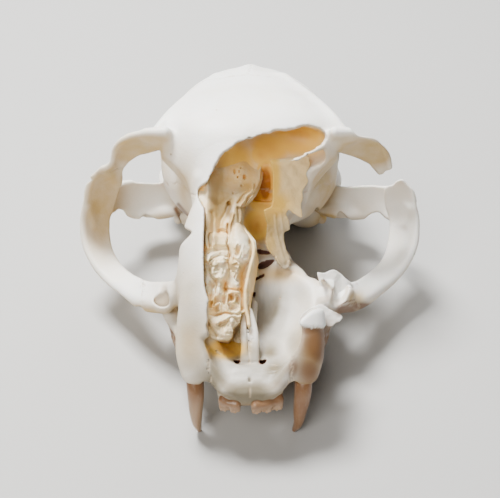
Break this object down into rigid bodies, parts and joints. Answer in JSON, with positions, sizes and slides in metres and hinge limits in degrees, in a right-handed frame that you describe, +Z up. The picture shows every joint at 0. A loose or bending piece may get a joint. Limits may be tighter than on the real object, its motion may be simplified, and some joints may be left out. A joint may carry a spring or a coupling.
{
  "type": "cat skull",
  "caption": "Life-size cat skull without its lower jaw, resting on its canine tips and ear capsules, with an opened nose and sinus and a broken left cheek arch.",
  "frame": {"origin": "middle of the bounding box on the surface that the skull rests on", "axes": "+X to the skull's own left, which is on the right in a front view; -Y out of its face, so the nose end points along -Y; +Z up; the skull leans back 8.4 degrees from a level tooth row"},
  "size_m": [0.0722, 0.0916, 0.0443],
  "materials": {
    "bone": "dry bleached bone, matt to faintly silky",
    "tooth": "smooth enamel, yellowed",
    "scroll": "thin dry bone stained amber"
  },
  "bodies": {
    "root": {"frontal": "bone", "parietal_left": "bone", "parietal_right": "bone", "occipital": "bone", "temporal_left": "bone", "temporal_right": "bone", "zygomatic_left": "bone", "zygomatic_right": "bone", "maxilla_left": "bone", "maxilla_right": "bone", "premaxilla": "bone", "palatine": "bone", "sphenoid": "bone", "septum": "bone", "ear_capsule_left": "bone", "ear_capsule_right": "bone", "scrolls_right": "scroll", "canine_left": "tooth", "canine_right": "tooth"}
  },
  "joints": []
}
